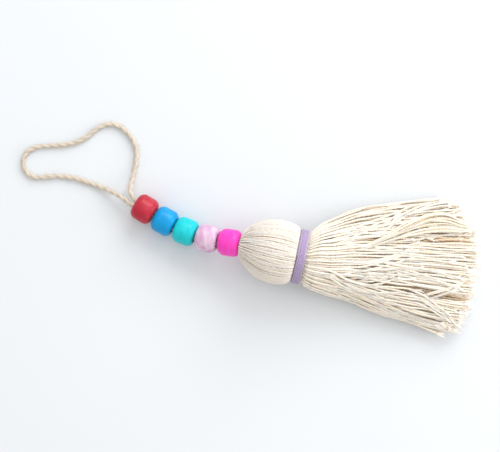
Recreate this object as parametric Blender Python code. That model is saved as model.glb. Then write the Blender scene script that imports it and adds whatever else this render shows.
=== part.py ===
"""A cotton yarn tassel on a looped jute cord strung with five barrel beads, lying on a flat surface.

Metres, +Z up, the surface at z = 0. +X runs from the loop to the cut ends of the skirt. The origin
lies on the surface, under the middle of the head, skirt, binding and beads together.
Places in the tables are millimetres from the middle of the neck, as x, y and height.
"""

import math

import bmesh
import bpy
import numpy as np
from mathutils import Matrix, Vector

MM = 0.001

# Where the middle of the neck stands in the object's frame
NECK = Vector((-2.3, 2.2, 9.8)) * MM
HEAD_HEADING = math.radians(-12)

# Head, neck and the core that the locks are rooted in, from the tip along the head's axis
HEAD_PROFILE = (
    # along, radius, rib height
    (1.7, 0.0, 0.0),
    (1.7, 2.05, 0.0),
    (0.1, 2.35, 0.0),
    (0.3, 3.6, 0.10),
    (1.3, 5.5, 0.18),
    (3.0, 7.5, 0.24),
    (5.4, 9.1, 0.28),
    (8.4, 10.1, 0.28),
    (11.6, 10.4, 0.28),
    (14.6, 10.1, 0.26),
    (16.5, 9.4, 0.20),
    (17.15, 8.7, 0.0),
    (17.2, 7.6, 0.0),
    (20.6, 7.55, 0.0),
    (23.0, 7.1, 0.0),
    (25.6, 5.8, 0.0),
    (27.6, 3.6, 0.0),
    (28.3, 0.0, 0.0),
)
TIP_TO_NECK = 18.9 * MM
RIBS = 36
# The ribs are pressed flat where the head's side faces down more than this
PRESSED_FLAT = 0.93

# Thread wound round the neck
BINDING_WIDTH = 2.8 * MM
BINDING_INSIDE = 8.0 * MM
BINDING_TURNS = 4
BINDING_THREAD = 0.9 * MM
BINDING_SIDES = 36

# Skirt: the outline of the bundle at each station, seen from above and from its end
STATIONS = (
    # x, y, heading, half width, top, bottom, height of the widest part
    (0.4, -0.1, -12, 6.2, 6.2, -6.2, 0.50),
    (4.6, -0.4, -11, 10.2, 8.6, -8.6, 0.45),
    (9.6, 0.0, -6, 12.7, 7.0, -9.8, 0.25),
    (17.0, 0.6, -3, 15.3, 4.6, -9.8, 0.15),
    (28.5, -0.7, -3, 19.0, 2.6, -9.8, 0.12),
    (43.0, -1.9, -3, 22.2, 0.8, -9.8, 0.12),
    (60.0, -3.3, -3, 24.2, -1.2, -9.8, 0.12),
)
# How far the cut ends reach along x, across the skirt from its -Y edge to its +Y edge
CUT_ENDS = (
    # across, x
    (-1.0, 50.5),
    (-0.6, 56.5),
    (-0.2, 58.3),
    (0.2, 59.8),
    (0.5, 58.0),
    (1.0, 50.5),
)
LOCKS = 176
LOCK_GAP = 0.28
LOCK_RADIUS_MOST = 0.78
LOCK_RADIUS_LEAST = 0.22
LOCK_WANDER = 0.25
RAGGED = 4.5
UNDERSIDE_SHORTER = 3.0
TIP_SHARE = 0.75
RELAX_ROUNDS = 60
SEED = 11
GOLDEN_ANGLE = math.pi * (3 - math.sqrt(5))
# Outward directions of the three sides of a lock, the first one flat towards the floor
SIDE_NORMALS = np.array([(math.cos(math.radians(a)), math.sin(math.radians(a))) for a in (270, 30, 150)])

# Beads, strung on the middle line between the cord's two strands
BEAD_DIAMETER = 9.0 * MM
BEAD_LENGTH = 7.0 * MM
BEAD_BORE = 4.6 * MM
BEAD_END_FACE = 5.2 * MM
BEAD_PITCH = 7.7 * MM
FIRST_BEAD = 4.95 * MM
BEAD_SIDES = 18
BEAD_LINE = (
    # x, y, height from the neck's middle, from the head's tip to past the last bead
    (-17.9, 3.8, 0.0),
    (-19.6, 4.1, -0.2),
    (-23.4, 4.6, -1.1),
    (-30.8, 6.0, -2.8),
    (-37.9, 8.4, -4.2),
    (-44.6, 11.7, -5.05),
    (-51.0, 15.6, -5.25),
    (-54.2, 17.5, -5.25),
)

# Jute cord: out of the head through the beads, round the loop on the surface, and back
CORD_DIAMETER = 1.6 * MM
STRAND_APART = 1.88 * MM
CORD_STEP = 3.9 * MM
LOOP = (
    # x, y, height from the neck's middle
    (-54.74, 19.32, -5.4),
    (-55.32, 20.5, -5.75),
    (-55.55, 21.85, -6.3),
    (-55.3, 24.5, -7.55),
    (-54.6, 27.8, -8.7),
    (-53.9, 31.2, -9.0),
    (-53.8, 35.0, -9.0),
    (-55.3, 38.9, -9.0),
    (-58.4, 42.2, -9.0),
    (-62.3, 43.7, -9.0),
    (-66.5, 42.4, -9.0),
    (-70.6, 39.2, -9.0),
    (-75.4, 37.2, -9.0),
    (-81.0, 36.6, -9.0),
    (-86.7, 36.1, -9.0),
    (-90.3, 34.2, -9.0),
    (-91.4, 30.6, -9.0),
    (-89.7, 27.2, -9.0),
    (-86.2, 26.0, -9.0),
    (-80.6, 26.5, -9.0),
    (-74.2, 25.7, -9.0),
    (-68.2, 23.8, -8.95),
    (-63.2, 21.8, -8.2),
    (-58.7, 19.5, -6.5),
)

COLOURS = {
    # base colour, roughness
    "yarn_tassel": ((0.84, 0.78, 0.67, 1), 0.9),
    "neck_binding": ((0.42, 0.30, 0.55, 1), 0.6),
    "bead_magenta": ((0.85, 0.05, 0.45, 1), 0.15),
    "bead_pink": ((0.88, 0.50, 0.74, 1), 0.15),
    "bead_teal": ((0.02, 0.62, 0.62, 1), 0.15),
    "bead_blue": ((0.02, 0.25, 0.78, 1), 0.15),
    "bead_red": ((0.60, 0.02, 0.05, 1), 0.15),
    "hanging_cord": ((0.48, 0.37, 0.25, 1), 0.9),
}
BEAD_NAMES = ("bead_magenta", "bead_pink", "bead_teal", "bead_blue", "bead_red")


def clear_scene():
    for obj in list(bpy.data.objects):
        bpy.data.objects.remove(obj)


def new_collection(name):
    collection = bpy.data.collections.new(name)
    bpy.context.scene.collection.children.link(collection)
    return collection


def give_material(obj):
    colour, roughness = COLOURS[obj.name]
    material = bpy.data.materials.new(obj.name)
    material.use_nodes = True
    shader = material.node_tree.nodes["Principled BSDF"]
    shader.inputs["Base Color"].default_value = colour
    shader.inputs["Roughness"].default_value = roughness
    shader.inputs["Metallic"].default_value = 0.0
    obj.data.materials.append(material)


def finish_object(name, bm, collection):
    """A mesh object with its faces turned outwards, from a closed bmesh."""
    bmesh.ops.remove_doubles(bm, verts=bm.verts, dist=1e-7)
    bmesh.ops.recalc_face_normals(bm, faces=bm.faces)
    mesh = bpy.data.meshes.new(name)
    bm.to_mesh(mesh)
    bm.free()
    obj = bpy.data.objects.new(name, mesh)
    collection.objects.link(obj)
    return obj


def turned(profile, sides):
    """A bmesh of a closed solid turned round its own x axis, from (along, radius) points."""
    bm = bmesh.new()
    points = [bm.verts.new((along, 0, radius)) for along, radius in profile]
    edges = [bm.edges.new(pair) for pair in zip(points, points[1:])]
    bmesh.ops.spin(
        bm,
        geom=points + edges,
        cent=(0, 0, 0),
        axis=(1, 0, 0),
        angle=2 * math.pi,
        steps=sides,
        use_merge=True,
    )
    bmesh.ops.remove_doubles(bm, verts=bm.verts, dist=1e-6)
    return bm


def from_neck(row):
    return NECK + Vector(row) * MM


def along_x_to(direction):
    """The turn that carries +X to this direction and keeps its sides level."""
    x = direction.normalized()
    y = Vector((0, 0, 1)).cross(x).normalized()
    return Matrix((x, y, x.cross(y))).transposed().to_4x4()


def smooth_line(points, step):
    """Points about a step apart on the smooth curve through these points (Catmull-Rom)."""
    ends = [2 * points[0] - points[1], *points, 2 * points[-1] - points[-2]]
    line = []
    for a, b, c, d in zip(ends, ends[1:], ends[2:], ends[3:]):
        steps = max(1, round((c - b).length / step))
        for t in np.arange(steps) / steps:
            line.append(0.5 * (2 * b + (c - a) * t + (2 * a - 5 * b + 4 * c - d) * t**2
                               + (3 * b - a - 3 * c + d) * t**3))
    return [*line, points[-1]]


def place_along(line, distance):
    """The point that far along a line, and the line's direction there."""
    for start, end in zip(line, line[1:]):
        run = (end - start).length
        if distance <= run:
            return start.lerp(end, distance / run), (end - start).normalized()
        distance -= run
    return line[-1], (line[-1] - line[-2]).normalized()


def make_backing(collection):
    """Head, neck and core: a turned solid with ribs like folded yarn and a small flat to rest on."""
    bm = turned([(along * MM, radius * MM) for along, radius, _ in HEAD_PROFILE], 2 * RIBS)
    at = [row[0] * MM for row in HEAD_PROFILE[2:]]
    height = [row[2] * MM for row in HEAD_PROFILE[2:]]
    place = Matrix.Translation(NECK) @ Matrix.Rotation(HEAD_HEADING, 4, "Z")
    for vert in bm.verts:
        radius = math.hypot(vert.co.y, vert.co.z)
        if radius > BEAD_BORE / 2 and vert.co.z > -PRESSED_FLAT * radius:
            step = round(math.atan2(vert.co.y, vert.co.z) / (math.pi / RIBS))
            sink = np.interp(vert.co.x, at, height) * (step % 2) / radius
            vert.co.y -= vert.co.y * sink
            vert.co.z -= vert.co.z * sink
        vert.co.x -= TIP_TO_NECK
        vert.co = place @ vert.co
        vert.co.z = max(vert.co.z, 0.0)
    return finish_object("yarn_tassel", bm, collection)


def column_ends(across, station):
    """Lowest and highest place of the bundle's outline, as shares of its height, at this share across."""
    widest = station[6]
    chord = np.sqrt(np.clip(1 - across**2, 1e-4, None))
    return widest * (1 - chord), widest + (1 - widest) * chord


def section_places(across, share, station):
    """Places in a station's plane, in millimetres, from shares across it and up its outline there."""
    _, _, _, half_width, top, bottom, _ = station
    low, high = column_ends(across, station)
    return np.stack([half_width * across, bottom + (top - bottom) * (low + share * (high - low))], axis=1)


def section_shares(places, station):
    """The reverse of section_places."""
    _, _, _, half_width, top, bottom, _ = station
    across = np.clip(places[:, 0] / half_width, -0.995, 0.995)
    low, high = column_ends(across, station)
    share = ((places[:, 1] - bottom) / (top - bottom) - low) / (high - low)
    return across, np.clip(share, 0, 1)


def relaxed(places, station, spacing):
    """The places moved apart until they are evenly spread inside the station's outline."""
    _, _, _, half_width, top, bottom, widest = station
    middle = bottom + (top - bottom) * widest
    for _ in range(RELAX_ROUNDS):
        apart = places[:, None] - places[None]
        distance = np.hypot(apart[..., 0], apart[..., 1]) + np.eye(len(places)) * 1e3
        push = np.clip(spacing - distance, 0, None) / distance
        places = places + 0.35 * (apart * push[..., None]).sum(axis=1)
        side = places[:, 0] / half_width
        rise = places[:, 1] - middle
        reach = np.where(rise > 0, top - middle, middle - bottom)
        outside = np.maximum(np.hypot(side, rise / reach), 1)
        places = np.stack([places[:, 0] / outside, middle + rise / outside], axis=1)
    return places


def separation(places):
    """How far each place is from its nearest neighbour, across the sides of the locks."""
    apart = places[:, None] - places[None]
    across_sides = np.abs(apart @ SIDE_NORMALS.T).max(axis=2)
    return (across_sides + np.eye(len(places)) * 1e3).min(axis=1)


def lock_sections():
    """Places and radii of every lock at every station, in millimetres, and where each is cut."""
    rng = np.random.default_rng(SEED)
    order = np.arange(LOCKS)
    spread = np.sqrt((order + 0.5) / LOCKS) * 0.97
    across = spread * np.cos(order * GOLDEN_ANGLE)
    share = (spread * np.sin(order * GOLDEN_ANGLE) / np.sqrt(1 - across**2) + 1) / 2
    places = []
    for number, station in enumerate(STATIONS):
        wander = rng.normal(0, LOCK_WANDER, (LOCKS, 2)) * (number > 1)
        spacing = math.sqrt(station[3] * (station[4] - station[5]) * math.pi / 2 / LOCKS)
        start = section_places(across, share, station) + wander
        places.append(relaxed(start, station, spacing))
        across, share = section_shares(places[-1], station)
    places = np.array(places)
    rest = STATIONS[-1][5] + LOCK_RADIUS_MOST / 2
    places[2:, :, 1] = np.maximum(places[2:, :, 1], rest)

    radii = np.full(places.shape[:2], LOCK_RADIUS_MOST)
    for number in range(len(STATIONS) - 1):
        for t in (0, 0.25, 0.5, 0.75, 1):
            between = places[number] * (1 - t) + places[number + 1] * t
            in_core = 0.9 * (1 - t) * (number == 0)
            room = (separation(between) - LOCK_GAP * (1 - in_core)) / 1.5
            radii[number] = np.minimum(radii[number], room)
            radii[number + 1] = np.minimum(radii[number + 1], room)
    radii = np.maximum(radii, LOCK_RADIUS_LEAST)

    on_floor = places[..., 1] < rest + 0.35
    on_floor[:2] = False
    places[..., 1] = np.where(on_floor, STATIONS[-1][5] + radii / 2, places[..., 1])

    edge, reach = zip(*CUT_ENDS)
    last = STATIONS[-1]
    cuts = np.interp(places[-1][:, 0] / last[3], edge, reach) - RAGGED * rng.random(LOCKS) ** 2
    cuts -= UNDERSIDE_SHORTER * on_floor[-1]
    return places, radii, cuts


def station_point(station, across, up):
    """A point of a station's plane in the object's frame."""
    x, y, heading = station[:3]
    turn = math.radians(heading)
    return from_neck((x - across * math.sin(turn), y + across * math.cos(turn), up))


def make_locks(collection):
    """The skirt: each lock is a three-sided strand lofted through its triangle in every station's plane."""
    places, radii, cuts = lock_sections()
    bm = bmesh.new()
    for lock in range(LOCKS):
        rings = []
        for number, station in enumerate(STATIONS):
            across, up = places[number, lock]
            radius = radii[number, lock]
            if number == len(STATIONS) - 1:
                before = STATIONS[number - 1]
                share = (cuts[lock] - before[0]) / (station[0] - before[0])
                station = tuple(a + (b - a) * share for a, b in zip(before, station))
                across, up = places[number - 1, lock] * (1 - share) + places[number, lock] * share
                radius = (radii[number - 1, lock] * (1 - share) + radius * share) * TIP_SHARE
                if places[number, lock, 1] < STATIONS[-1][5] + 0.5:
                    up = STATIONS[-1][5] + radius / 2
            corners = [
                station_point(station, across - radius * nx, up - radius * ny) for nx, ny in SIDE_NORMALS
            ]
            rings.append([bm.verts.new(corner) for corner in corners])
        for ring, following in zip(rings, rings[1:]):
            for side in range(3):
                after = (side + 1) % 3
                bm.faces.new((ring[side], ring[after], following[after], following[side]))
        bm.faces.new(rings[0][::-1])
        bm.faces.new(rings[-1])
    bmesh.ops.triangulate(bm, faces=bm.faces)
    return finish_object("skirt_locks", bm, collection)


def make_tassel(collection, helpers):
    tassel = make_backing(collection)
    locks = make_locks(helpers)
    locks.hide_render = True
    locks.display_type = "WIRE"
    union = tassel.modifiers.new("root_the_locks", "BOOLEAN")
    union.operation = "UNION"
    union.solver = "EXACT"
    union.object = locks
    give_material(tassel)


def make_binding(collection):
    """Turns of thread side by side, each a shallow round ridge."""
    profile = [(-BINDING_WIDTH / 2, BINDING_INSIDE)]
    half_turn = BINDING_WIDTH / BINDING_TURNS / 2
    for turn in range(BINDING_TURNS):
        start = -BINDING_WIDTH / 2 + 2 * turn * half_turn
        profile.append((start + 0.02 * half_turn, BINDING_INSIDE + 0.65 * BINDING_THREAD))
        profile.append((start + half_turn, BINDING_INSIDE + BINDING_THREAD))
    profile.append((BINDING_WIDTH / 2, BINDING_INSIDE + 0.65 * BINDING_THREAD))
    profile.append((BINDING_WIDTH / 2, BINDING_INSIDE))
    bm = turned([*profile, profile[0]], BINDING_SIDES)
    binding = finish_object("neck_binding", bm, collection)
    binding.matrix_world = Matrix.Translation(NECK) @ Matrix.Rotation(HEAD_HEADING, 4, "Z")
    binding.data.shade_smooth()
    give_material(binding)


def make_bead(name, middle, direction, mesh, collection):
    bead = bpy.data.objects.new(name, mesh.copy())
    collection.objects.link(bead)
    bead.matrix_world = Matrix.Translation(middle) @ along_x_to(direction)
    give_material(bead)


def bead_mesh(helpers):
    """A barrel with flat ends, round shoulders and a straight bore."""
    half = BEAD_LENGTH / 2
    outside = BEAD_DIAMETER / 2
    shoulder = outside - BEAD_END_FACE / 2
    profile = [(-half, BEAD_BORE / 2)]
    for angle in (0, 30, 60, 90):
        turn = math.radians(angle)
        along = -half + shoulder * (1 - math.cos(turn))
        profile.append((along, BEAD_END_FACE / 2 + shoulder * math.sin(turn)))
    profile += [(-along, radius) for along, radius in reversed(profile)]
    bm = turned([*profile, profile[0]], BEAD_SIDES)
    pattern = finish_object("bead_pattern", bm, helpers)
    mesh = pattern.data
    mesh.shade_smooth()
    mesh.set_sharp_from_angle(angle=math.radians(50))
    bpy.data.objects.remove(pattern)
    return mesh


def make_beads(collection, helpers):
    line = smooth_line([from_neck(row) for row in BEAD_LINE], 0.5 * MM)
    mesh = bead_mesh(helpers)
    for number, name in enumerate(BEAD_NAMES):
        middle, direction = place_along(line, FIRST_BEAD + number * BEAD_PITCH)
        make_bead(name, middle, direction, mesh, collection)


def make_cord(collection):
    """One jute cord: both strands side by side in the beads, and the loop between them."""
    line = smooth_line([from_neck(row) for row in BEAD_LINE], CORD_STEP)
    strands = ([], [])
    for before, point, after in zip([line[0], *line], line, [*line[1:], line[-1]]):
        side = (after - before).cross(Vector((0, 0, 1))).normalized() * STRAND_APART / 2
        strands[0].append(point + side)
        strands[1].append(point - side)
    route = [*strands[0], *(from_neck(row) for row in LOOP), *reversed(strands[1])]
    points = smooth_line(route, CORD_STEP)
    curve = bpy.data.curves.new("hanging_cord", "CURVE")
    curve.dimensions = "3D"
    curve.bevel_depth = CORD_DIAMETER / 2
    curve.bevel_resolution = 2
    curve.use_fill_caps = True
    spline = curve.splines.new("POLY")
    spline.points.add(len(points) - 1)
    for target, point in zip(spline.points, points):
        target.co = (*point, 1)
    cord = bpy.data.objects.new("hanging_cord", curve)
    collection.objects.link(cord)
    give_material(cord)


def main():
    clear_scene()
    tassel = new_collection("beaded_tassel")
    helpers = new_collection("helpers")
    helpers.hide_render = True
    make_tassel(tassel, helpers)
    make_binding(tassel)
    make_beads(tassel, helpers)
    make_cord(tassel)


main()
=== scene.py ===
import math

import bpy
import numpy as np
from mathutils import Matrix, Vector


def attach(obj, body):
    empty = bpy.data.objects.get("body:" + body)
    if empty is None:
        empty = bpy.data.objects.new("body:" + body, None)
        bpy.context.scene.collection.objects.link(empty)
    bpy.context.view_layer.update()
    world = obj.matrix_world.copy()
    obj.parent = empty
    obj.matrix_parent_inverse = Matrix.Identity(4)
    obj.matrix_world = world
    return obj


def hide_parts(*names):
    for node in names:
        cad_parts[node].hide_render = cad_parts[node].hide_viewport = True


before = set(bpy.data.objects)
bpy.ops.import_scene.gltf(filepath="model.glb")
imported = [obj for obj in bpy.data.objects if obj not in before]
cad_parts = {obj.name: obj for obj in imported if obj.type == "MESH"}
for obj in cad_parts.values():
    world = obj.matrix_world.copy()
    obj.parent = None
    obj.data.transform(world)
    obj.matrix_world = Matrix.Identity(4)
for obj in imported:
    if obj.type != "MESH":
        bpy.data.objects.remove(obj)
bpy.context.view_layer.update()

# A cotton yarn tassel on a looped jute cord strung with five barrel beads, lying on a white table.
# Places in the tables are millimetres from the middle of the tassel's neck, as x, y and height.
MM = 0.001
UP = Vector((0, 0, 1))
NECK = Vector((-2.3, 2.2, 9.8)) * MM
HEAD_HEADING = math.radians(-12)
TIP_TO_NECK = 18.9


def from_neck(row):
    return NECK + Vector(row) * MM


def head_place(along, radius, angle):
    """A point of the head, along its axis from the tip, out from the axis and round it."""
    place = Vector((along - TIP_TO_NECK, radius * math.sin(angle), radius * math.cos(angle)))
    place.rotate(Matrix.Rotation(HEAD_HEADING, 3, "Z"))
    return from_neck(place)


# Camera and light

VIEW_CENTRE = Vector((-0.0185, 0.0121, 0))
VIEW_WIDTH = 0.166
LENS = 85
SENSOR = 36
SKY_COLOUR = (1, 0.975, 0.94, 1)
SKY_STRENGTH = 0.80
LIGHTS = (
    # name, place, size, power, tint
    ("window", (0.30, 0.68, 0.48), 0.55, 5.1, (1, 0.995, 0.985)),
    ("ceiling", (-0.15, 0.25, 1.0), 0.9, 1.8, (1, 1, 1)),
    ("bounce", (0.16, -0.42, 0.16), 0.35, 0.2, (1, 0.85, 0.68)),
    ("side", (0.46, 0.02, 0.20), 0.3, 1.0, (1, 0.99, 0.98)),
)
# Yarn this pale passes light on many times
DIFFUSE_BOUNCES = 8


def make_camera():
    """Straight above the table, as in the photo, near enough that the tassel fills the frame."""
    lens = bpy.data.cameras.new("camera")
    lens.lens = LENS
    lens.sensor_width = SENSOR
    camera = bpy.data.objects.new("camera", lens)
    camera.location = VIEW_CENTRE + UP * VIEW_WIDTH * LENS / SENSOR
    bpy.context.scene.collection.objects.link(camera)
    bpy.context.scene.camera = camera


def add_light(name, place, size, power, tint):
    """A square soft light aimed at the tassel."""
    light = bpy.data.lights.new(name, "AREA")
    light.size = size
    light.energy = power
    light.color = tint
    lamp = bpy.data.objects.new(name, light)
    lamp.location = place
    lamp.rotation_euler = (VIEW_CENTRE - Vector(place)).to_track_quat("-Z", "Y").to_euler()
    bpy.context.scene.collection.objects.link(lamp)


def light_scene():
    """Daylight from all round, stronger from a window beyond the view's top right corner."""
    world = bpy.data.worlds.new("daylight")
    world.use_nodes = True
    sky = world.node_tree.nodes["Background"]
    sky.inputs["Color"].default_value = SKY_COLOUR
    sky.inputs["Strength"].default_value = SKY_STRENGTH
    bpy.context.scene.world = world
    for light in LIGHTS:
        add_light(*light)
    bpy.context.scene.cycles.diffuse_bounces = DIFFUSE_BOUNCES
    bpy.context.scene.view_settings.view_transform = "Standard"


# Materials


class Wire:
    """A shader socket. Arithmetic on it adds Math nodes."""

    def __init__(self, finish, socket):
        self.finish = finish
        self.socket = socket

    def math(self, operation, *values):
        return self.finish.add("ShaderNodeMath", {"operation": operation}, dict(enumerate(values)))

    def __add__(self, other):
        return self.math("ADD", self, other)

    def __sub__(self, other):
        return self.math("SUBTRACT", self, other)

    def __rsub__(self, other):
        return self.math("SUBTRACT", other, self)

    def __mul__(self, other):
        return self.math("MULTIPLY", self, other)

    __radd__ = __add__
    __rmul__ = __mul__

    def sine(self):
        return self.math("SINE", self)

    def cosine(self):
        return self.math("COSINE", self)


class Finish:
    """A material in the making, round one Principled shader."""

    def __init__(self, name, **numbers):
        self.material = bpy.data.materials.new(name)
        self.material.use_nodes = True
        self.tree = self.material.node_tree
        self.shader = self.tree.nodes["Principled BSDF"]
        for key, value in numbers.items():
            self.shader.inputs[key.replace("_", " ")].default_value = value

    def add(self, kind, settings, inputs, output=0):
        """One node: its settings first, then the values or links of its sockets."""
        node = self.tree.nodes.new(kind)
        for key, value in settings.items():
            if key == "stops":
                for element, (place, shade) in zip(node.color_ramp.elements, value):
                    element.position, element.color = place, shade
            else:
                setattr(node, key, value)
        for key, value in inputs.items():
            if isinstance(value, Wire):
                self.tree.links.new(value.socket, node.inputs[key])
            else:
                node.inputs[key].default_value = value
        return Wire(self, node.outputs[output])

    def strand_places(self):
        """Along a strand and round it, each from 0 to 1, and the strand's own number, also 0 to 1."""
        unwrapped = self.add("ShaderNodeUVMap", {"uv_map": "UVMap"}, {})
        places = self.add("ShaderNodeSeparateXYZ", {}, {0: unwrapped})
        round_it = Wire(self, places.socket.node.outputs[1])
        own = self.add("ShaderNodeAttribute", {"attribute_name": "strand"}, {}, output="Fac")
        return places, round_it, own

    def object_place(self, scale=(1, 1, 1)):
        """Object coordinates in millimetres, stretched by scale."""
        place = self.add("ShaderNodeTexCoord", {}, {}, output="Object")
        return self.add("ShaderNodeMapping", {}, {0: place, "Scale": [1000 * part for part in scale]})

    def vector(self, x, y, z):
        return self.add("ShaderNodeCombineXYZ", {}, {0: x, 1: y, 2: z})

    def noise(self, vector, scale, detail=2.0):
        return self.add("ShaderNodeTexNoise", {}, {"Vector": vector, "Scale": scale, "Detail": detail})

    def mix(self, factor, first, second):
        """A colour between two others."""
        return self.add("ShaderNodeMix", {"data_type": "RGBA"}, {0: factor, 6: first, 7: second}, output=2)

    def feed(self, socket, wire):
        self.tree.links.new(wire.socket, self.shader.inputs[socket])

    def bump(self, height, depth):
        """Raises the surface by height times depth, in metres."""
        self.feed("Normal", self.add("ShaderNodeBump", {}, {"Height": height, "Distance": depth}))


def colour(red, green, blue):
    return (red, green, blue, 1)


# How long the marks of single fibres and of thick places are, in millimetres
FIBRE_MARK = 1.6
SLUB_MARK = 9
YARN_RELIEF = 0.12 * MM


def spun_yarn(name, light, dark, plies, long, turns=0, groove=0.3, glow=0.0, sheen=0.05):
    """Spun yarn of a length in millimetres. Its plies are ridges of the mesh, or wind round it in turns,
    and its colour is painted darker in the grooves between them as painted shade.
    """
    yarn = Finish(name, Roughness=0.9, Sheen_Weight=sheen, Specular_IOR_Level=0.15, Subsurface_Weight=glow,
                  Subsurface_Radius=(1.0, 0.7, 0.5), Subsurface_Scale=MM)
    along, round_it, own = yarn.strand_places()
    ridge = ((along * turns + round_it) * (2 * math.pi * plies)).cosine()
    turn = round_it * (2 * math.pi)
    lengthways = along * (long / FIBRE_MARK) + own * 50
    fibres = yarn.noise(yarn.vector(lengthways, turn.cosine() * 2.2, turn.sine() * 2.2), 1.0, 3.0)
    slubs = yarn.noise(yarn.vector(along * (long / SLUB_MARK) + own * 80, 0, own * 30), 1.0, 2.0)
    # Painted shade: by groove, the colour goes towards dark in the grooves between plies; slubs, each
    # yarn's own number and the fibres vary the tone at random.
    tone_and_groove_shade = (slubs - 0.5) * 0.5 + (own - 0.5) * 0.2 + (fibres - 0.5) * 0.3 - ridge * (groove / 2)
    yarn.feed("Base Color", yarn.mix(tone_and_groove_shade + (groove / 2 + 0.10), light, dark))
    yarn.bump(fibres * 0.8 + ridge * (0.5 if turns else 0.0), YARN_RELIEF)
    return yarn.material


def loose_fibre(name, light, dark):
    """Single fibres and unspun plies."""
    fibre = Finish(name, Roughness=0.9, Sheen_Weight=0.1, Specular_IOR_Level=0.15)
    along, _, own = fibre.strand_places()
    fibre.feed("Base Color", fibre.mix(own * 0.7 + along * 0.2, light, dark))
    return fibre.material


# Where the streaks in the beads' plastic begin and are strongest, and how they run
STREAK_STOPS = ((0.40, colour(0, 0, 0)), (0.66, colour(1, 1, 1)))
STREAK_STRETCH = (0.5, 0.22, 0.5)
PLASTIC_RELIEF = 0.03 * MM
TABLE_WHITE, TABLE_SHADE = (0.695, 0.732, 0.77), (0.67, 0.707, 0.75)


def gloss_plastic(name, base, streak, streaks):
    """Moulded bead plastic: a soft gloss over a colour with faint flow streaks."""
    plastic = Finish(name, Coat_Weight=0.2, Coat_Roughness=0.22, Specular_IOR_Level=0.15)
    flow = plastic.noise(plastic.object_place(STREAK_STRETCH), 1.0, 3.0)
    ramp = plastic.add("ShaderNodeValToRGB", {"stops": STREAK_STOPS}, {0: flow})
    share = plastic.add("ShaderNodeSeparateColor", {}, {0: ramp})
    plastic.feed("Base Color", plastic.mix(share * streaks, base, streak))
    grain = plastic.noise(plastic.object_place(), 2.2)
    plastic.feed("Roughness", grain * 0.14 + 0.34)
    plastic.bump(grain + flow * 2.0, PLASTIC_RELIEF)
    return plastic.material


def table_top():
    """Smooth white board with the faintest unevenness."""
    top = Finish("white_table", Roughness=0.7, Specular_IOR_Level=0.2)
    cloudy = top.noise(top.object_place((0.01, 0.01, 0.01)), 1.0)
    top.feed("Base Color", top.mix(cloudy, colour(*TABLE_WHITE), colour(*TABLE_SHADE)))
    return top.material


# Making and finishing pieces


def deselect_all():
    bpy.ops.object.select_all(action="DESELECT")


def edit(piece):
    """Opens one piece in edit mode with all of it selected."""
    deselect_all()
    piece.select_set(True)
    bpy.context.view_layer.objects.active = piece
    bpy.ops.object.mode_set(mode="EDIT")
    bpy.ops.mesh.select_all(action="SELECT")


def close_edit():
    """Turns the faces outwards and leaves edit mode."""
    bpy.ops.mesh.select_all(action="SELECT")
    bpy.ops.mesh.normals_make_consistent(inside=False)
    bpy.ops.object.mode_set(mode="OBJECT")


def dress(piece, material, slot, *stands_for):
    """Gives a finished piece its material, hangs it on the root body and hides the parts that it stands
    for.
    """
    piece.data.materials.clear()
    piece.data.materials.append(material)
    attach(piece, "root")
    if stands_for:
        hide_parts(*stands_for)
    return piece


def strand_section(sides, plies=0, depth=0.0):
    """A strand's cross-section, one metre in radius: round, or with a groove between its plies."""
    outline = bpy.data.curves.new("section", "CURVE")
    spline = outline.splines.new("POLY")
    spline.points.add(sides - 1)
    for number, point in enumerate(spline.points):
        turn = 2 * math.pi * number / sides
        radius = 1 - depth * (1 - math.cos(plies * turn)) / 2
        point.co = (radius * math.cos(turn), radius * math.sin(turn), 0, 1)
    spline.use_cyclic_u = True
    section = bpy.data.objects.new("section", outline)
    bpy.context.scene.collection.objects.link(section)
    return section


def strands_mesh(name, strands, section, pitch=None):
    """One mesh of many closed strands, each a list of points with its radii, in metres.

    The section turns once round the strand in each pitch. Every strand has its own number as an attribute.
    """
    curve = bpy.data.curves.new(name, "CURVE")
    curve.dimensions = "3D"
    curve.twist_mode = "MINIMUM"
    curve.bevel_mode = "OBJECT"
    curve.bevel_object = section
    for points, radii in strands:
        line = np.array(points)
        spline = curve.splines.new("POLY")
        spline.points.add(len(line) - 1)
        spline.points.foreach_set("co", np.c_[line, np.ones(len(line))].ravel())
        spline.points.foreach_set("radius", np.broadcast_to(radii, len(line)).astype(np.float32))
        if pitch:
            run = np.r_[0, np.cumsum(np.linalg.norm(np.diff(line, axis=0), axis=1))]
            spline.points.foreach_set("tilt", (2 * math.pi / pitch * run).astype(np.float32))
    piece = bpy.data.objects.new(name, curve)
    bpy.context.scene.collection.objects.link(piece)
    deselect_all()
    piece.select_set(True)
    bpy.context.view_layer.objects.active = piece
    bpy.ops.object.convert(target="MESH")
    sides = len(section.data.splines[0].points)
    own = np.random.default_rng(len(strands)).random(len(strands))
    numbers = np.repeat(own, [len(points) * sides for points, _ in strands])
    attribute = piece.data.attributes.new("strand", "FLOAT", "POINT")
    attribute.data.foreach_set("value", numbers.astype(np.float32))
    edit(piece)
    bpy.ops.mesh.fill_holes(sides=0)
    close_edit()
    piece.data.shade_smooth()
    return piece


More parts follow.
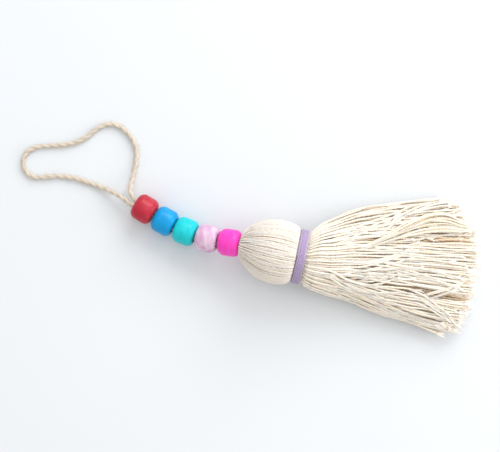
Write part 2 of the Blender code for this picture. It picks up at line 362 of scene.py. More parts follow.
def lathe(name, profile, sides, place):
    """A turned shell, extruded ring by ring along its axis and then put in its place."""
    (start, radius), *rest = profile
    deselect_all()
    bpy.ops.mesh.primitive_circle_add(vertices=sides, radius=radius, location=(0, 0, 0))
    piece = bpy.context.object
    piece.name = name
    edit(piece)
    bpy.ops.transform.translate(value=(0, 0, start))
    for along, wide in rest:
        bpy.ops.mesh.extrude_region_move(TRANSFORM_OT_translate={"value": (0, 0, along - start)})
        bpy.ops.transform.resize(value=(wide / radius, wide / radius, 1), center_override=(0, 0, along))
        start, radius = along, wide
    bpy.ops.mesh.select_all(action="SELECT")
    bpy.ops.mesh.remove_doubles(threshold=1e-6)
    close_edit()
    piece.data.transform(place)
    piece.data.shade_smooth()
    return piece


def axis_place(middle, direction):
    """The matrix that lays +Z along a direction and moves it to a place."""
    return Matrix.Translation(middle) @ direction.to_track_quat("Z", "Y").to_matrix().to_4x4()


def head_axis():
    return axis_place(head_place(0, 0, 0), head_place(1, 0, 0) - head_place(0, 0, 0))


def smooth_line(points, step):
    """Points about a step apart on the smooth curve through these points (Catmull-Rom)."""
    ends = [2 * points[0] - points[1], *points, 2 * points[-1] - points[-2]]
    line = []
    for a, b, c, d in zip(ends, ends[1:], ends[2:], ends[3:]):
        steps = max(1, round((c - b).length / step))
        for t in np.arange(steps) / steps:
            line.append(0.5 * (2 * b + (c - a) * t + (2 * a - 5 * b + 4 * c - d) * t**2
                               + (3 * b - a - 3 * c + d) * t**3))
    return [*line, points[-1]]


def place_along(line, distance):
    """The point that far along a line, and the line's direction there."""
    for start, end in zip(line, line[1:]):
        run = (end - start).length
        if distance <= run:
            return start.lerp(end, distance / run), (end - start).normalized()
        distance -= run
    return line[-1], (line[-1] - line[-2]).normalized()


def smooth_values(rng, count, knots, size):
    """A smooth uneven run of numbers about zero, from a few random ones."""
    return np.interp(np.linspace(0, knots - 1, count), np.arange(knots), rng.normal(0, size, knots))


# The jute cord

CORD_DIAMETER = 1.6 * MM
STRAND_APART = 1.88 * MM
CORD_STEP = 3.9 * MM
BEAD_LINE = (
    # x, y, height from the neck's middle, from the head's tip to past the last bead
    (-17.9, 3.8, 0.0),
    (-19.6, 4.1, -0.2),
    (-23.4, 4.6, -1.1),
    (-30.8, 6.0, -2.8),
    (-37.9, 8.4, -4.2),
    (-44.6, 11.7, -5.05),
    (-51.0, 15.6, -5.25),
    (-54.2, 17.5, -5.25),
)
LOOP = (
    # x, y, height from the neck's middle
    (-54.74, 19.32, -5.4),
    (-55.32, 20.5, -5.75),
    (-55.55, 21.85, -6.3),
    (-55.3, 24.5, -7.55),
    (-54.6, 27.8, -8.7),
    (-53.9, 31.2, -9.0),
    (-53.8, 35.0, -9.0),
    (-55.3, 38.9, -9.0),
    (-58.4, 42.2, -9.0),
    (-62.3, 43.7, -9.0),
    (-66.5, 42.4, -9.0),
    (-70.6, 39.2, -9.0),
    (-75.4, 37.2, -9.0),
    (-81.0, 36.6, -9.0),
    (-86.7, 36.1, -9.0),
    (-90.3, 34.2, -9.0),
    (-91.4, 30.6, -9.0),
    (-89.7, 27.2, -9.0),
    (-86.2, 26.0, -9.0),
    (-80.6, 26.5, -9.0),
    (-74.2, 25.7, -9.0),
    (-68.2, 23.8, -8.95),
    (-63.2, 21.8, -8.2),
    (-58.7, 19.5, -6.5),
)
CORD_TWIST = 5.6 * MM
CORD_FINE_STEP = 0.33 * MM
# How uneven the twine is, and the deepest groove between its plies, as shares of its radius
CORD_UNEVEN = 0.035
CORD_GROOVE = 0.28
CORD_FIBRES = 800
# The stray fibres' lean along the twine, their length in millimetres and their curl, and how far from
# its middle they root, as a share of its diameter
FIBRE_LEAN = (0.8, 2.6)
FIBRE_LENGTH = (0.4, 1.2)
FIBRE_CURL = 0.3
FIBRE_ROOT = 0.36
# Points at each end of the twine that carry none
BARE_POINTS = 12
CORD_FIBRE_RADII = [radius * MM for radius in (0.035, 0.03, 0.022, 0.01)]
# The lowest that a loose fibre may lie over the table
FIBRE_LOWEST = 0.03 * MM
JUTE_LIGHT, JUTE_DARK = (0.66, 0.595, 0.505), (0.44, 0.365, 0.28)


def cord_route():
    """Both strands side by side in the beads, and the loop between them."""
    line = smooth_line([from_neck(row) for row in BEAD_LINE], CORD_STEP)
    strands = ([], [])
    for before, point, after in zip([line[0], *line], line, [*line[1:], line[-1]]):
        side = (after - before).cross(UP).normalized() * STRAND_APART / 2
        strands[0].append(point + side)
        strands[1].append(point - side)
    return [*strands[0], *(from_neck(row) for row in LOOP), *reversed(strands[1])]


def make_cord():
    """Two-ply jute twine, and its length."""
    line = smooth_line(smooth_line(cord_route(), CORD_STEP), CORD_FINE_STEP)
    rng = np.random.default_rng(2)
    thick = CORD_DIAMETER / 2 * (1.0 + smooth_values(rng, len(line), 70, CORD_UNEVEN))
    thick = np.minimum(thick, CORD_DIAMETER / 2 * 1.05)
    section = strand_section(16, 2, CORD_GROOVE)
    cord = strands_mesh("jute_cord", [(line, thick)], section, CORD_TWIST)
    bpy.data.objects.remove(section)
    length = sum((end - start).length for start, end in zip(line, line[1:]))
    jute = spun_yarn("jute", colour(*JUTE_LIGHT), colour(*JUTE_DARK), 2, length / MM)
    dress(cord, jute, "jute", "hanging_cord")
    return line


def make_cord_fibres(line):
    """Short stray fibres that stand off the twine."""
    rng = np.random.default_rng(5)
    hairs = []
    for _ in range(CORD_FIBRES):
        number = rng.integers(BARE_POINTS, len(line) - BARE_POINTS)
        ahead = (line[number + 1] - line[number]).normalized()
        side = ahead.cross(UP).normalized()
        turn = rng.uniform(0, 2 * math.pi)
        out = side * math.cos(turn) + side.cross(ahead) * math.sin(turn)
        lean = ahead * rng.choice((-1, 1)) * rng.uniform(*FIBRE_LEAN)
        long = rng.uniform(*FIBRE_LENGTH) * MM
        curl = side * rng.normal(0, FIBRE_CURL)
        start = line[number] + out * CORD_DIAMETER * FIBRE_ROOT
        hair = [start + ((out + lean) * share + curl * math.sin(3 * share)) * long
                for share in (0, 0.4, 0.75, 1)]
        if min(place.z for place in hair) > FIBRE_LOWEST:
            hairs.append((hair, CORD_FIBRE_RADII))
    section = strand_section(4)
    fibres = strands_mesh("jute_fibres", hairs, section)
    bpy.data.objects.remove(section)
    dress(fibres, loose_fibre("jute_fibre", colour(0.80, 0.73, 0.62), colour(0.60, 0.49, 0.37)), "jute")


# The beads

BEAD_DIAMETER = 9.0 * MM
BEAD_LENGTH = 7.2 * MM
BEAD_BORE = 4.6 * MM
BEAD_SHOULDER = 1.9 * MM
BEAD_BORE_EDGE = 0.25 * MM
BEAD_SIDES = 64
BEAD_LINE_STEP = 0.5 * MM
# How much narrower a bead's outside grows towards its ends
BEAD_CROWN = 0.10
BEAD_PITCH = 7.7 * MM
FIRST_BEAD = 4.95 * MM
BEADS = (
    # node, record slot, main colour, streak colour, strength of the streaks
    ("bead_magenta", "magenta_plastic", (0.83, 0.045, 0.46), (0.90, 0.10, 0.60), 0.5),
    ("bead_pink", "pink_plastic", (0.57, 0.34, 0.53), (0.73, 0.58, 0.72), 0.9),
    ("bead_teal", "teal_plastic", (0.005, 0.50, 0.55), (0.015, 0.64, 0.71), 0.5),
    ("bead_blue", "blue_plastic", (0.0, 0.26, 0.60), (0.001, 0.39, 0.74), 0.5),
    ("bead_red", "red_plastic", (0.41, 0.018, 0.038), (0.53, 0.045, 0.075), 0.6),
)


def select_rims(piece, radius):
    """In edit mode, selects the two rims of a tube at this radius."""
    bpy.ops.mesh.select_all(action="DESELECT")
    bpy.ops.object.mode_set(mode="OBJECT")
    points = piece.data.vertices
    for edge in piece.data.edges:
        a, b = (points[index].co for index in edge.vertices)
        at_radius = all(abs(math.hypot(end.x, end.y) - radius) < 0.05 * MM for end in (a, b))
        edge.select = at_radius and a.z * b.z > 0
    bpy.ops.object.mode_set(mode="EDIT")


def make_bead(node, middle, direction):
    """A barrel bead: a thick tube with wide round shoulders and a softened bore."""
    deselect_all()
    bpy.ops.mesh.primitive_cylinder_add(
        vertices=BEAD_SIDES, radius=BEAD_DIAMETER / 2, depth=BEAD_LENGTH, end_fill_type="NOTHING")
    bead = bpy.context.object
    bead.name = node + "_moulded"
    wall = bead.modifiers.new("wall", "SOLIDIFY")
    wall.thickness = (BEAD_DIAMETER - BEAD_BORE) / 2
    wall.offset = -1
    bpy.ops.object.modifier_apply(modifier="wall")
    edit(bead)
    bpy.ops.mesh.select_mode(type="EDGE")
    rims = ((BEAD_DIAMETER / 2, BEAD_SHOULDER, 9), (BEAD_BORE / 2, BEAD_BORE_EDGE, 4))
    for radius, soft, steps in rims:
        select_rims(bead, radius)
        bpy.ops.mesh.bevel(offset=soft, segments=steps, affect="EDGES")
    close_edit()
    for point in bead.data.vertices:
        radius = math.hypot(point.co.x, point.co.y)
        outer = (radius - BEAD_BORE / 2) / (BEAD_DIAMETER - BEAD_BORE) * 2
        narrower = 1 - BEAD_CROWN * max(0.0, outer) * (2 * point.co.z / BEAD_LENGTH) ** 2
        point.co.x *= narrower
        point.co.y *= narrower
    bead.data.transform(axis_place(middle, direction))
    bead.data.shade_smooth()
    return bead


def make_beads():
    line = smooth_line([from_neck(row) for row in BEAD_LINE], BEAD_LINE_STEP)
    for number, (node, slot, base, streak, streaks) in enumerate(BEADS):
        middle, direction = place_along(line, FIRST_BEAD + number * BEAD_PITCH)
        plastic = gloss_plastic(slot, colour(*base), colour(*streak), streaks)
        dress(make_bead(node, middle, direction), plastic, slot, node)


# The head and the binding

HEAD_PROFILE = (
    # along, radius
    (1.7, 1.6),
    (0.3, 2.0),
    (-0.25, 2.8),
    (-0.40, 3.7),
    (0.0, 4.8),
    (1.2, 6.1),
    (2.9, 7.6),
    (5.4, 9.2),
    (8.4, 10.15),
    (11.6, 10.4),
    (14.6, 10.1),
    (16.4, 9.4),
    (17.15, 8.5),
    (17.4, 7.7),
    (18.9, 7.5),
    (21.0, 7.5),
)
HEAD_YARNS = 108
HEAD_STEP = 0.7
# How far a yarn of the head strays sideways, in depth and in its spacing
HEAD_SWAY = 0.12
HEAD_LIFT = 0.08
HEAD_SPACING = 0.22
# How deep three yarns in turn sink at the tip, and the radius at which that has faded out
PLEATS = (0.0, 1.1, 2.3)
TIP_RADIUS = 8
THINNEST_YARN = 0.25
# The tip leans out over the bead, which tilts down
TIP_LEAN = 0.42
YARN_RADIUS = 0.37
YARN_TWIST = 5.6 * MM
BINDING_WIDTH = 2.8
BINDING_INSIDE = 8.0
BINDING_OUTSIDE = 8.9
THREAD_RADIUS = 0.19
THREAD_WOBBLE = 0.03
STEPS_A_TURN = 90
TURNED_SIDES = 72
FILLING_DEPTH = 0.75
FILLING_LOWEST = 0.3 * MM


def make_head(section):
    """Yarns folded over the cord, side by side from the hole at the tip to the neck."""
    rng = np.random.default_rng(3)
    outline = smooth_line([Vector((*row, 0)) for row in HEAD_PROFILE], HEAD_STEP)
    count = len(outline)
    strands = []
    for yarn in range(HEAD_YARNS):
        sway = smooth_values(rng, count, 5, HEAD_SWAY)
        lift = smooth_values(rng, count, 6, HEAD_LIFT)
        start = 2 * math.pi * (yarn + rng.uniform(-HEAD_SPACING, HEAD_SPACING)) / HEAD_YARNS
        sunk = PLEATS[yarn % 3]
        points, radii = [], []
        for number, spot in enumerate(outline):
            near_tip = max(0.0, 1 - spot.y / TIP_RADIUS)
            room = math.pi * spot.y / HEAD_YARNS
            thick = min(YARN_RADIUS, max(THINNEST_YARN, room * 1.25))
            depth = thick * 0.95 + sunk * near_tip - lift[number]
            lean = TIP_LEAN * near_tip * spot.y * math.cos(start)
            place = head_place(spot.x + 0.5 * depth * near_tip - lean, max(spot.y - depth, 1.0),
                               start + sway[number] / max(spot.y, 3))
            place.z = max(place.z, thick * MM)
            points.append(place)
            radii.append(thick * MM)
        strands.append((points, radii))
    return strands_mesh("head_yarns", strands, section, YARN_TWIST)


def make_head_filling():
    """The yarn underneath, which shows only in the gaps."""
    beneath = [(max(along, 1.0), radius - FILLING_DEPTH) for along, radius in HEAD_PROFILE[3:]]
    profile = [(3.0, 0.2), (1.6, 1.6), (1.0, 2.4), *beneath, (24.0, 6.8), (26.0, 4.5), (27.0, 0.3)]
    shell = [(along * MM, radius * MM) for along, radius in profile]
    piece = lathe("head_inner_yarn", shell, TURNED_SIDES, head_axis())
    for point in piece.data.vertices:
        point.co.z = max(point.co.z, FILLING_LOWEST)
    return piece


def make_binding():
    """Thread wound round the neck in close turns over a first layer."""
    rng = np.random.default_rng(8)
    turns = int(BINDING_WIDTH / (2 * THREAD_RADIUS))
    start = TIP_TO_NECK - BINDING_WIDTH / 2 + THREAD_RADIUS
    wobble = smooth_values(rng, turns * STEPS_A_TURN + 1, turns * 4, THREAD_WOBBLE)
    points = []
    for step in range(turns * STEPS_A_TURN + 1):
        share = step / STEPS_A_TURN
        along = start + share * (BINDING_WIDTH - 2 * THREAD_RADIUS) / turns + wobble[step]
        radius = BINDING_OUTSIDE - THREAD_RADIUS + 0.5 * wobble[step]
        points.append(head_place(along, radius, 2 * math.pi * share))
    section = strand_section(8)
    wound = strands_mesh("neck_thread", [(points, THREAD_RADIUS * MM)], section)
    bpy.data.objects.remove(section)
    low, high = (TIP_TO_NECK + side * (BINDING_WIDTH / 2 - 0.15) for side in (-1, 1))
    inner, outer = BINDING_INSIDE + 0.05, BINDING_OUTSIDE - 1.3 * THREAD_RADIUS
    corners = ((low, inner), (low, outer), (high, outer), (high, inner), (low, inner))
    ring = [(along * MM, radius * MM) for along, radius in corners]
    under = lathe("neck_thread_under", ring, TURNED_SIDES, head_axis())
    return wound, under


# The skirt

STATIONS = (
    # x, y, heading, half width, top, bottom, height of the widest part
    (0.0, 0.0, -12, 7.1, 7.1, -7.1, 0.50),
    (1.3, -0.1, -12, 7.4, 7.4, -7.4, 0.50),
    (2.9, -0.2, -12, 9.0, 8.6, -8.7, 0.48),
    (5.4, 0.0, -11, 10.9, 8.7, -9.2, 0.42),
    (10.0, -0.2, -6, 12.6, 7.2, -9.4, 0.25),
    (17.0, 0.0, -3, 15.0, 5.0, -9.4, 0.15),
    (22.6, -0.4, -3, 17.0, 3.9, -9.4, 0.13),
    (28.5, -0.9, -3, 18.8, 2.9, -9.4, 0.12),
    (36.0, -1.5, -3, 20.5, 2.0, -9.4, 0.12),
    (43.0, -2.0, -3, 22.0, 1.1, -9.4, 0.12),
    (51.0, -2.6, -3, 23.5, 0.1, -9.4, 0.12),
    (60.0, -3.3, -3, 24.4, -0.9, -9.4, 0.12),
)
CUT_ENDS = (
    # across, x
    (-1.0, 50.0),
    (-0.6, 55.5),
    (-0.2, 57.3),
    (0.2, 58.8),
    (0.5, 57.0),
    (1.0, 50.0),
)
# How far short of the cut line a yarn may end, in millimetres
RAGGED = 5.2
SKIRT_YARNS = 470
SKIRT_LOCKS = 40
# Yarns that start farther out than this share of the bundle's radius are drawn with their plies
SURFACE_SHARE = 0.77
# The station from which each lock goes its own way
LOOSE_FROM = 4
GOLDEN_ANGLE = math.pi * (3 - math.sqrt(5))
# Rounds in which crowded yarns push each other apart, and how far in each
RELAX_ROUNDS = 40
RELAX_PUSH = 0.35
FINE_STEP = 0.8 * MM
PLAIN_STEP = 1.8 * MM
BOWED_LOCK = (
    # x, y of its lower edge, y of its upper edge, lift over the skirt: a lock that bows up like a leaf
    (14.0, 1.2, 2.0, -1.4),
    (20.0, 2.5, 3.4, -0.4),
    (25.0, 4.0, 5.4, 0.5),
    (30.0, 5.5, 8.4, 1.0),
    (35.7, 7.0, 11.5, 1.5),
    (41.0, 7.9, 13.6, 1.8),
    (46.9, 8.3, 14.1, 1.8),
    (52.6, 8.0, 11.7, 1.4),
    (57.4, 8.5, 9.3, 0.6),
)
BOWED_YARNS = 15
# The bowed lock is this many layers of yarn, each so far under the last, in millimetres
BOWED_LAYERS = 3
BOWED_LAYER_DROP = 0.45
OVERLAID = (
    # x, y of locks that lie aslant over the others
    ((0.9, -7.2), (10.6, -10.9), (18.6, -14.1), (26.6, -17.4), (38.0, -20.6), (48.0, -23.0)),
    ((2.0, -3.8), (9.4, -5.5), (15.0, -8.9), (22.6, -11.2), (30.0, -12.0)),
    ((8.0, -2.5), (18.6, -3.2), (27.0, -1.6), (35.0, 0.9), (44.0, 2.2)),
    ((16.0, -7.6), (23.2, -7.4), (29.0, -6.2), (37.0, -3.8)),
    ((24.0, -2.2), (31.8, -3.8), (40.9, -6.4), (53.5, -9.6)),
    ((14.0, -9.2), (20.9, -10.1), (32.3, -11.2), (41.0, -13.4)),
    ((36.0, -13.9), (39.8, -13.4), (46.6, -11.5), (52.8, -9.3)),
    ((17.0, -10.6), (22.6, -12.4), (27.0, -15.2), (35.2, -18.6), (43.8, -21.5), (50.0, -23.4)),
    ((33.0, -12.6), (39.8, -14.0), (45.4, -17.5), (50.8, -22.0)),
    ((6.0, 3.4), (14.0, 6.0), (22.0, 8.9), (30.0, 11.6), (39.0, 14.6)),
    ((20.0, 5.8), (28.0, 10.2), (35.0, 14.6), (43.0, 17.0), (50.0, 17.8)),
)
LAID_YARNS = 4
# A laid lock that ends before this x goes back into the skirt
TUCKED_BEFORE = 46
LAID_SHARES = (0.0, 0.3, 0.75, 1.0)
LAID_LIFTS = (-1.9, 0.05, 0.15, 0.0)
TUCKED_LIFTS = (-1.9, 0.05, 0.05, -1.6)
STRAY_YARNS = 22
# Where a stray yarn begins and how long it runs, in millimetres
STRAY_BEGIN = (6, 24)
STRAY_LENGTH = (22, 42)
STRAY_TUCKED = 0.35
# How a lock leans aside at first and from one station to the next, and how its yarns scatter and gather
LOCK_SLANT = 0.028
SLANT_CHANGE = 0.016
YARN_SCATTER = 0.09
LOCK_GATHER = 0.07
# Lengths and heights of a yarn's two long waves and its small kink, in millimetres
WAVE_LENGTH, KINK_LENGTH = (13, 28), (5, 8)
WAVE_HEIGHT, KINK_HEIGHT = (0.05, 0.24), (0.01, 0.05)
# Where along x the waves begin, and over how far they grow to their full height
WAVES_FROM, WAVES_GROW = 4, 16
# A frayed end: its strands, of which the first few are plies, and their length in millimetres
FRAYED_STRANDS = 7
PLIES = 3
FRAYED_LENGTH = (1.2, 3.4)
FRAYED_LOWEST = 0.2 * MM
PLY_RADII = [radius * MM for radius in (0.22, 0.23, 0.23, 0.2, 0.09)]
FRAYED_FIBRE_RADII = [radius * MM for radius in (0.05, 0.05, 0.045, 0.035, 0.015)]


def column_ends(across, station):
    """Lowest and highest place of the bundle's outline, as shares of its height, at this share across."""
    widest = station[6]
    chord = np.sqrt(np.clip(1 - across**2, 1e-4, None))
    return widest * (1 - chord), widest + (1 - widest) * chord


def section_places(across, share, station):
    """Places in a station's plane, in millimetres, from shares across it and up its outline there."""
    _, _, _, half_width, top, bottom, _ = station
    low, high = column_ends(across, station)
    return np.stack([half_width * across, bottom + (top - bottom) * (low + share * (high - low))], axis=1)


def section_shares(places, station):
    """The reverse of section_places."""
    _, _, _, half_width, top, bottom, _ = station
    across = np.clip(places[:, 0] / half_width, -0.995, 0.995)
    low, high = column_ends(across, station)
    share = ((places[:, 1] - bottom) / (top - bottom) - low) / (high - low)
    return across, np.clip(share, 0, 1)


def relaxed(places, station, spacing):
    """The places moved apart to this spacing where the station's outline leaves room."""
    _, _, _, half_width, top, bottom, widest = station
    middle = bottom + (top - bottom) * widest
    for _ in range(RELAX_ROUNDS):
        apart = places[:, None] - places[None]
        distance = np.hypot(apart[..., 0], apart[..., 1]) + np.eye(len(places)) * 1e3
        push = np.clip(spacing - distance, 0, None) / distance
        places = places + RELAX_PUSH * (apart * push[..., None]).sum(axis=1)
        side = places[:, 0] / half_width
        rise = places[:, 1] - middle
        reach = np.where(rise > 0, top - middle, middle - bottom)
        outside = np.maximum(np.hypot(side, rise / reach), 1)
        places = np.stack([places[:, 0] / outside, middle + rise / outside], axis=1)
    return places


def sunflower(count):
    """Evenly spread points of a unit disc."""
    order = np.arange(count)
    spread = np.sqrt((order + 0.5) / count)
    return np.stack([spread * np.cos(order * GOLDEN_ANGLE), spread * np.sin(order * GOLDEN_ANGLE)], axis=1)


def yarn_stations(rng):
    """The place of every yarn at every station, in millimetres. Yarns keep together in loose locks."""
    disc = sunflower(SKIRT_YARNS) * 0.99
    centres = sunflower(SKIRT_LOCKS) * 0.96
    lock = np.hypot(*(disc[:, None] - centres[None]).transpose(2, 0, 1)).argmin(axis=1)
    slant = rng.normal(0, LOCK_SLANT, SKIRT_LOCKS)
    across = disc[:, 0]
    share = (disc[:, 1] / np.sqrt(1 - across**2) + 1) / 2
    places = []
    for number, station in enumerate(STATIONS):
        spread = section_places(across, share, station)
        if number >= LOOSE_FROM:
            slant = 0.7 * slant + rng.normal(0, SLANT_CHANGE, SKIRT_LOCKS)
            spread[:, 0] += slant[lock] * (station[0] - STATIONS[number - 1][0])
            spread += rng.normal(0, YARN_SCATTER, spread.shape)
            middles = np.array([spread[lock == one].mean(axis=0) for one in range(SKIRT_LOCKS)])
            spread += (LOCK_GATHER if number < len(STATIONS) - 3 else 0.0) * (middles[lock] - spread)
        evenly = math.sqrt(station[3] * (station[4] - station[5]) * math.pi / 2 / SKIRT_YARNS)
        places.append(relaxed(spread, station, min(2.3 * YARN_RADIUS, 0.95 * evenly)))
        across, share = section_shares(places[-1], station)
    return np.array(places), np.hypot(*disc.T) > SURFACE_SHARE


def station_point(station, across, up):
    """A point of a station's plane."""
    x, y, heading = station[:3]
    turn = math.radians(heading)
    return from_neck((x - across * math.sin(turn), y + across * math.cos(turn), up))


def station_at(x):
    """The bundle's outline at this x, between the stations."""
    return [np.interp(x, [row[0] for row in STATIONS], column) for column in zip(*STATIONS)]


def cut_at(across):
    """How far the skirt reaches along x at this share across it."""
    edge, reach = zip(*CUT_ENDS)
    return np.interp(across, edge, reach)


def waved(line, rng, thick):
    """The line with the long lazy waves and small kinks of a hanging yarn, kept on the table."""
    pitch = (*rng.uniform(*WAVE_LENGTH, 2), rng.uniform(*KINK_LENGTH))
    phase = rng.uniform(0, 2 * math.pi, 3)
    size = (*rng.uniform(*WAVE_HEIGHT, 2), rng.uniform(*KINK_HEIGHT))
    places = []
    for point in line:
        run = (point.x - NECK.x) / MM
        free = min(1.0, max(0.0, (run - WAVES_FROM) / WAVES_GROW))
        side, rise, kink = (part * math.sin(2 * math.pi * run / length + start)
                            for part, length, start in zip(size, pitch, phase))
        place = point + Vector((0, side + kink, (rise + kink) * 0.5)) * free * MM
        place.z = max(place.z, thick)
        places.append(place)
    return places


def cut_line(line, reach):
    """The line as far as its cut, at this x from the neck."""
    kept = [point for point in line if point.x < NECK.x + reach * MM]
    return kept if len(kept) > 6 else line[:7]


def on_top(x, y, lift):
    """A place this far above the skirt's upper side."""
    station = station_at(x)
    across = np.clip((y - station[1]) / station[3], -0.97, 0.97)
    _, high = column_ends(across, station)
    return from_neck((x, y, station[5] + (station[4] - station[5]) * high + lift))


def bowed_lock(rng):
    """Yarns of the lock that bows up, fanned between its edges and brought together at its tip."""
    lines = []
    for yarn in range(BOWED_YARNS):
        share = yarn / (BOWED_YARNS - 1)
        sway = smooth_values(rng, len(BOWED_LOCK), 4, 0.12)
        route = []
        for (x, low, high, lift), own in zip(BOWED_LOCK, sway):
            y = low + (high - low) * (share + own)
            route.append(on_top(x, y, lift - BOWED_LAYER_DROP * (yarn % BOWED_LAYERS)))
        line = cut_line(smooth_line(route, FINE_STEP), BOWED_LOCK[-1][0] - rng.uniform(0.2, 3.0))
        lines.append(waved(line, rng, YARN_RADIUS * MM))
    return lines


def laid_yarn(route, tucked, rng):
    """A yarn that comes up out of the skirt and lies on it along this route. A tucked one goes back in."""
    plan = smooth_line([Vector((x, y, 0)) for x, y in route], 2.0)
    lifts = np.interp(np.linspace(0, 1, len(plan)), LAID_SHARES, TUCKED_LIFTS if tucked else LAID_LIFTS)
    line = smooth_line([on_top(point.x, point.y, lift) for point, lift in zip(plan, lifts)], FINE_STEP)
    return waved(cut_line(line, route[-1][0] - rng.uniform(0, 3)), rng, YARN_RADIUS * MM)


def overlaid_locks(rng):
    """Locks of a few yarns each, aslant over the others."""
    lines = []
    for route in OVERLAID:
        for yarn in range(LAID_YARNS):
            sides = (yarn - (LAID_YARNS - 1) / 2) * 0.9 + smooth_values(rng, len(route), 3, 0.6)
            moved = [(x, y + side) for (x, y), side in zip(route, sides)]
            lines.append(laid_yarn(moved, route[-1][0] < TUCKED_BEFORE, rng))
    return lines


def stray_yarns(rng):
    """Single yarns that lie a little aslant over the others."""
    lines = []
    for _ in range(STRAY_YARNS):
        across = rng.uniform(-0.8, 0.75)
        begin = rng.uniform(*STRAY_BEGIN)
        end = min(begin + rng.uniform(*STRAY_LENGTH), cut_at(across) - rng.uniform(0, 3))
        slant = rng.normal(0, 0.12) * (end - begin)
        bend = rng.normal(0, 0.6)
        route = []
        for share in (0, 0.25, 0.5, 0.75, 1):
            station = station_at(begin + share * (end - begin))
            y = station[1] + across * station[3] + slant * share + bend * math.sin(math.pi * share)
            route.append((station[0], y))
        lines.append(laid_yarn(route, rng.random() < STRAY_TUCKED, rng))
    return lines


def frayed_tip(line, rng):
    """The plies of a cut end a little apart, with a few loose fibres."""
    end = line[-2]
    ahead = (line[-1] - line[-5]).normalized()
    plies, fibres = [], []
    longest = rng.uniform(*FRAYED_LENGTH)
    for strand in range(FRAYED_STRANDS):
        turn = 2 * math.pi * strand / PLIES + rng.uniform(-0.6, 0.6)
        spread = Vector((0, math.cos(turn), math.sin(turn)))
        ply = strand < PLIES
        long = longest * (rng.uniform(0.5, 1.0) if ply else rng.uniform(0.6, 1.6))
        wide = 0.45 if ply else 1.0
        curl = rng.normal(0, 0.12, 2)
        points = []
        for share in (0.0, 0.25, 0.5, 0.75, 1.0):
            bend = Vector((0, *curl)) * math.sin(math.pi * share)
            place = end + (ahead * long * share + spread * (0.2 + wide * share**1.6) + bend) * MM
            place.z = max(place.z, FRAYED_LOWEST)
            points.append(place)
        if ply:
            plies.append((points, PLY_RADII))
        else:
            fibres.append((points, FRAYED_FIBRE_RADII))
    return plies, fibres


def make_skirt(section):
    """The skirt's yarns as smooth wavy strands: those at the surface, those inside, and frayed tips."""
    rng = np.random.default_rng(21)
    places, surface = yarn_stations(rng)
    cuts = cut_at(places[-1][:, 0] / STATIONS[-1][3]) - RAGGED * rng.random(SKIRT_YARNS) ** 2
    outer, inner = [], []
    for yarn in range(SKIRT_YARNS):
        through = [station_point(station, *places[number, yarn]) for number, station in enumerate(STATIONS)]
        line = cut_line(smooth_line(through, FINE_STEP if surface[yarn] else PLAIN_STEP), cuts[yarn])
        (outer if surface[yarn] else inner).append(waved(line, rng, YARN_RADIUS * MM))
    bowed = bowed_lock(rng)
    outer += overlaid_locks(rng) + stray_yarns(rng)
    plies, fibres = [], []
    for line in bowed + outer + inner:
        for kind, tip in zip((plies, fibres), frayed_tip(line, rng)):
            kind += tip
    strands = [(line, YARN_RADIUS * MM) for line in outer]
    third = len(strands) // 3
    shares = (("low", 0, third), ("side", third, 2 * third), ("top", 2 * third, None))
    yarns = [strands_mesh(f"skirt_yarns_{name}", strands[start:end], section, YARN_TWIST)
             for name, start, end in shares]
    bowed_strands = [(line, YARN_RADIUS * MM) for line in bowed]
    leaf = strands_mesh("skirt_bowed_lock", bowed_strands, section, YARN_TWIST)
    plain, thin = strand_section(6), strand_section(4)
    inside = strands_mesh("skirt_yarns_inner", [(line, YARN_RADIUS * MM) for line in inner], plain)
    tips = [strands_mesh("frayed_plies", plies, plain), strands_mesh("frayed_fibres", fibres, thin)]
    bpy.data.objects.remove(plain)
    bpy.data.objects.remove(thin)
    return yarns, leaf, inside, tips


# CREAM and TAN are the ends of the yarns' tone: the colour moves towards TAN at random, and as painted
# shade in the grooves between plies.
CREAM, TAN = colour(0.92, 0.875, 0.81), colour(0.82, 0.63, 0.42)
WARM = colour(0.94, 0.88, 0.77)
# Painted shade: the yarns inside the skirt and the filling under the head are a darker, warmer copy of the
# cotton, for the shade deep between the yarns.
PAINTED_SHADE_INNER_LIGHT, PAINTED_SHADE_INNER_DARK = colour(0.93, 0.82, 0.66), colour(0.83, 0.64, 0.43)
# Painted shade: the head's yarn is the skirt's cotton painted darker and greyer.
HEAD_CREAM_PAINTED_SHADE = colour(0.81, 0.78, 0.765)
FLUFF_LIGHT, FLUFF_DARK = colour(0.96, 0.93, 0.88), colour(0.91, 0.86, 0.78)
LAVENDER_LIGHT, LAVENDER_DARK = colour(0.49, 0.39, 0.61), colour(0.33, 0.24, 0.44)
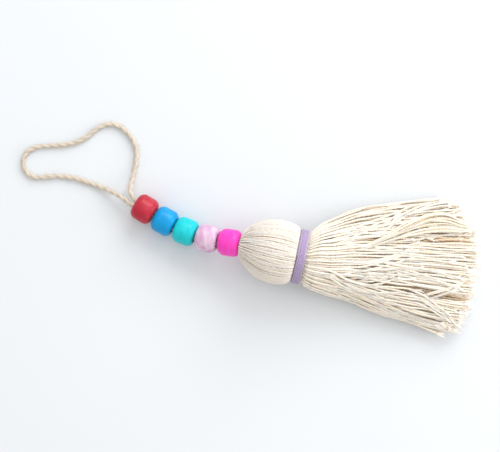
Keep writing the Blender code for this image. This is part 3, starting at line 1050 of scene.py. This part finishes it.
# How long the yarns and the thread are for their finish, in millimetres
SKIRT_LENGTH = 57
HEAD_LENGTH = 28
THREAD_LENGTH = 380
PLY_GROOVE = 0.16


def make_tassel():
    section = strand_section(12, PLIES, PLY_GROOVE)
    yarns, leaf, inside, tips = make_skirt(section)
    skirt_yarn = spun_yarn("cotton_skirt_yarn", CREAM, TAN, PLIES, SKIRT_LENGTH, glow=0.4)
    for piece in yarns:
        dress(piece, skirt_yarn, "cotton_yarn", "yarn_tassel")
    warm_yarn = spun_yarn("cotton_warm_yarn", WARM, TAN, PLIES, SKIRT_LENGTH, glow=0.4)
    dress(leaf, warm_yarn, "cotton_yarn", "yarn_tassel")
    # Painted shade: the inner yarns get the darker, warmer cotton.
    inner_yarn_painted_shade = spun_yarn("cotton_inner_yarn", PAINTED_SHADE_INNER_LIGHT, PAINTED_SHADE_INNER_DARK, PLIES, SKIRT_LENGTH, turns=10)
    dress(inside, inner_yarn_painted_shade, "cotton_yarn", "yarn_tassel")
    fluff = loose_fibre("cotton_fibre", FLUFF_LIGHT, FLUFF_DARK)
    for piece in tips:
        dress(piece, fluff, "cotton_yarn", "yarn_tassel")
    # Painted shade: the head's yarn takes the darker, greyer cream.
    head_yarn = spun_yarn("cotton_head_yarn", HEAD_CREAM_PAINTED_SHADE, TAN, PLIES, HEAD_LENGTH, glow=0.25)
    dress(make_head(section), head_yarn, "cotton_yarn", "yarn_tassel")
    # Painted shade: the head's filling gets the same darker, warmer cotton.
    dress(make_head_filling(), inner_yarn_painted_shade, "cotton_yarn", "yarn_tassel")
    bpy.data.objects.remove(section)
    lavender = spun_yarn("lavender_thread", LAVENDER_LIGHT, LAVENDER_DARK, 2, THREAD_LENGTH,
                         turns=260, sheen=0.3)
    for piece in make_binding():
        dress(piece, lavender, "lavender_thread", "neck_binding")


def make_table():
    deselect_all()
    bpy.ops.mesh.primitive_plane_add(size=6, location=(0, 0, 0))
    table = bpy.context.object
    table.name = "table_top"
    table.data.materials.append(table_top())


make_camera()
cord_line = make_cord()
make_cord_fibres(cord_line)
make_beads()
make_tassel()
make_table()
light_scene()
